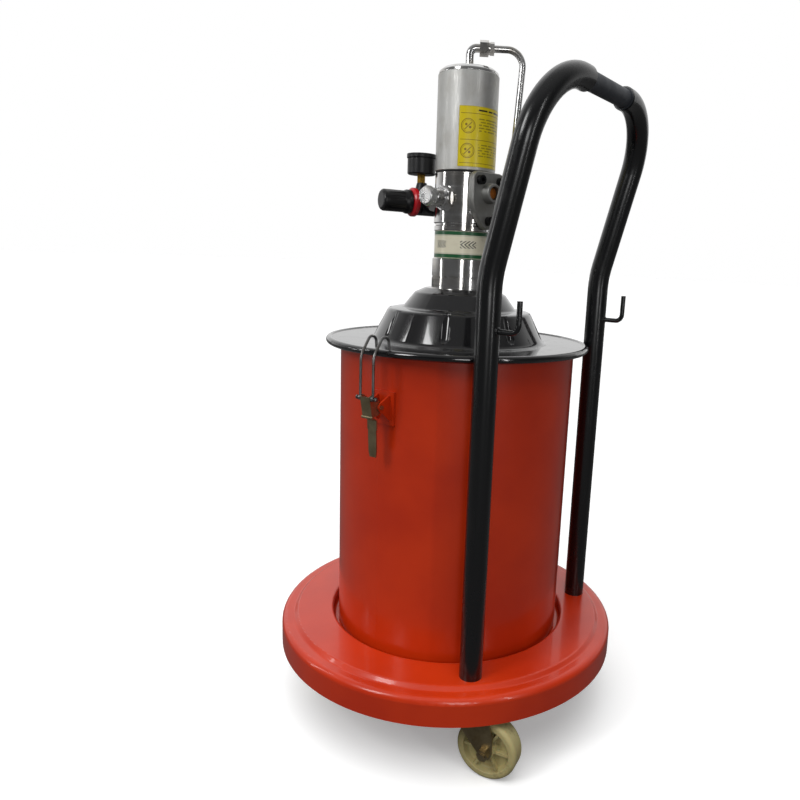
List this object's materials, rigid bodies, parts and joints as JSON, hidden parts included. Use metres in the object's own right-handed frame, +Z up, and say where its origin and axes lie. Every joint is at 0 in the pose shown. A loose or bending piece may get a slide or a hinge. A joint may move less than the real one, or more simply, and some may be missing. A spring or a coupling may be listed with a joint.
{
  "type": "air-operated oil drum pump",
  "caption": "Wheeled oil drum with a compressed-air pump on its lid, a suction tube inside, a push handle, toggle latches and a pressure regulator with gauge.",
  "frame": {"origin": "on the floor, on the drum axis", "axes": "+Z up along the drum axis; +Y towards the push handle; +X to the side of the forward latch"},
  "size_m": [0.464, 0.464, 0.8723],
  "materials": {
    "orange_paint": "gloss",
    "black_paint": "gloss",
    "grey_grip": "satin",
    "chrome": "polished",
    "aluminium": "satin",
    "zinc": "satin",
    "steel": "satin",
    "brass": "satin",
    "bronze": "matte",
    "nylon": "satin",
    "black_plastic": "satin",
    "red_plastic": "gloss",
    "gasket_rubber": "matte",
    "clear_glass": "gloss"
  },
  "bodies": {
    "trolley": {"air_cylinder": "aluminium", "air_pipe": "chrome", "air_plug": "chrome", "base_tray": "orange_paint", "bonnet_ring": "red_plastic", "caster_stems": "zinc", "cover_screws": "steel", "drum": "orange_paint", "drum_bolts": "zinc", "elbow": "chrome", "foot_valve": "steel", "gauge_case": "black_plastic", "gauge_lens": "clear_glass", "gauge_stem": "brass", "handle_bar": "grey_grip", "handle_tube_left": "black_paint", "handle_tube_right": "black_paint", "hose_hooks": "black_paint", "latch_brackets": "orange_paint", "latch_pins": "zinc", "lid": "black_paint", "lid_gasket": "gasket_rubber", "lid_lock_ring": "steel", "motor_gasket": "gasket_rubber", "neck": "chrome", "outlet_fitting": "chrome", "pipe_nut": "chrome", "pipe_socket": "chrome", "regulator_body": "black_plastic", "regulator_nipple": "chrome", "relief_cap": "chrome", "relief_valve": "chrome", "rod_packing": "gasket_rubber", "silencer": "bronze", "stem_nuts": "zinc", "suction_tube": "steel", "top_cap": "chrome", "valve_body": "chrome", "valve_cover": "aluminium"},
    "fork_1": {"caster_fork_1": "zinc"},
    "wheel_1": {"caster_wheel_1": "nylon"},
    "fork_2": {"caster_fork_2": "zinc"},
    "wheel_2": {"caster_wheel_2": "nylon"},
    "fork_3": {"caster_fork_3": "zinc"},
    "wheel_3": {"caster_wheel_3": "nylon"},
    "fork_4": {"caster_fork_4": "zinc"},
    "wheel_4": {"caster_wheel_4": "nylon"},
    "lever_right": {"latch_lever_right": "zinc"},
    "bail_right": {"latch_bail_right": "steel"},
    "lever_left": {"latch_lever_left": "zinc"},
    "bail_left": {"latch_bail_left": "steel"},
    "motor_rod": {"air_piston": "aluminium", "piston_seal": "gasket_rubber", "piston_rod": "steel", "plunger": "steel"},
    "plunger_check": {"plunger_ball": "steel"},
    "foot_check": {"foot_ball": "steel"},
    "spool": {"spool": "steel"},
    "knob": {"regulator_knob": "black_plastic"},
    "pointer": {"gauge_pointer": "black_plastic"}
  },
  "joints": [
    {"name": "caster_swivel_1", "type": "hinge", "parent": "trolley", "child": "fork_1", "pos_m": [0.137, 0.135, 0.1], "axis": [0, 0, 1], "continuous": true},
    {"name": "wheel_spin_1", "type": "hinge", "parent": "fork_1", "child": "wheel_1", "pos_m": [0.13196, 0.16356, 0.038], "axis": [-0.9848, -0.1736, 0], "continuous": true},
    {"name": "caster_swivel_2", "type": "hinge", "parent": "trolley", "child": "fork_2", "pos_m": [-0.137, 0.135, 0.1], "axis": [0, 0, 1], "continuous": true},
    {"name": "wheel_spin_2", "type": "hinge", "parent": "fork_2", "child": "wheel_2", "pos_m": [-0.16501, 0.12749, 0.038], "axis": [0.2588, -0.9659, 0], "continuous": true},
    {"name": "caster_swivel_3", "type": "hinge", "parent": "trolley", "child": "fork_3", "pos_m": [-0.137, -0.135, 0.1], "axis": [0, 0, 1], "continuous": true},
    {"name": "wheel_spin_3", "type": "hinge", "parent": "fork_3", "child": "wheel_3", "pos_m": [-0.16572, -0.13096, 0.038], "axis": [-0.1392, -0.9903, 0], "continuous": true},
    {"name": "caster_swivel_4", "type": "hinge", "parent": "trolley", "child": "fork_4", "pos_m": [0.137, -0.135, 0.1], "axis": [0, 0, 1], "continuous": true},
    {"name": "wheel_spin_4", "type": "hinge", "parent": "fork_4", "child": "wheel_4", "pos_m": [0.12661, -0.10793, 0.038], "axis": [-0.9336, -0.3584, 0], "continuous": true},
    {"name": "latch_lever_right", "type": "hinge", "parent": "trolley", "child": "lever_right", "pos_m": [0.17279, 0.00845, 0.434], "axis": [0.0489, -0.9988, 0], "range_deg": [0, 60]},
    {"name": "latch_bail_right", "type": "hinge", "parent": "lever_right", "child": "bail_right", "pos_m": [0.18778, 0.00918, 0.446], "axis": [0.0489, -0.9988, 0], "range_deg": [-90, 0]},
    {"name": "latch_lever_left", "type": "hinge", "parent": "trolley", "child": "lever_left", "pos_m": [-0.17279, -0.00845, 0.434], "axis": [-0.0489, 0.9988, 0], "range_deg": [0, 60]},
    {"name": "latch_bail_left", "type": "hinge", "parent": "lever_left", "child": "bail_left", "pos_m": [-0.18778, -0.00918, 0.446], "axis": [-0.0489, 0.9988, 0], "range_deg": [-90, 0]},
    {"name": "piston_stroke", "type": "slide", "parent": "trolley", "child": "motor_rod", "axis": [0, 0, 1], "range_m": [0, 0.07]},
    {"name": "plunger_check", "type": "slide", "parent": "motor_rod", "child": "plunger_check", "axis": [0, 0, 1], "range_m": [0, 0.006]},
    {"name": "foot_check", "type": "slide", "parent": "trolley", "child": "foot_check", "axis": [0, 0, 1], "range_m": [0, 0.006]},
    {"name": "spool_shift", "type": "slide", "parent": "trolley", "child": "spool", "axis": [0, 0, 1], "range_m": [0, 0.012]},
    {"name": "regulator_knob", "type": "hinge", "parent": "trolley", "child": "knob", "pos_m": [0.04794, -0.08281, 0.676], "axis": [0.9011, -0.4337, 0], "range_deg": [-90, 720]},
    {"name": "gauge_pointer", "type": "hinge", "parent": "trolley", "child": "pointer", "pos_m": [0.00919, -0.06417, 0.732], "axis": [0, 0, -1], "range_deg": [0, 270], "stiffness_Nm_per_rad": 0.00001}
  ],
  "couplings": [
    {"joint": "latch_bail_right", "follows": "latch_lever_right", "ratio": -1.5},
    {"joint": "latch_bail_left", "follows": "latch_lever_left", "ratio": -1.5}
  ]
}
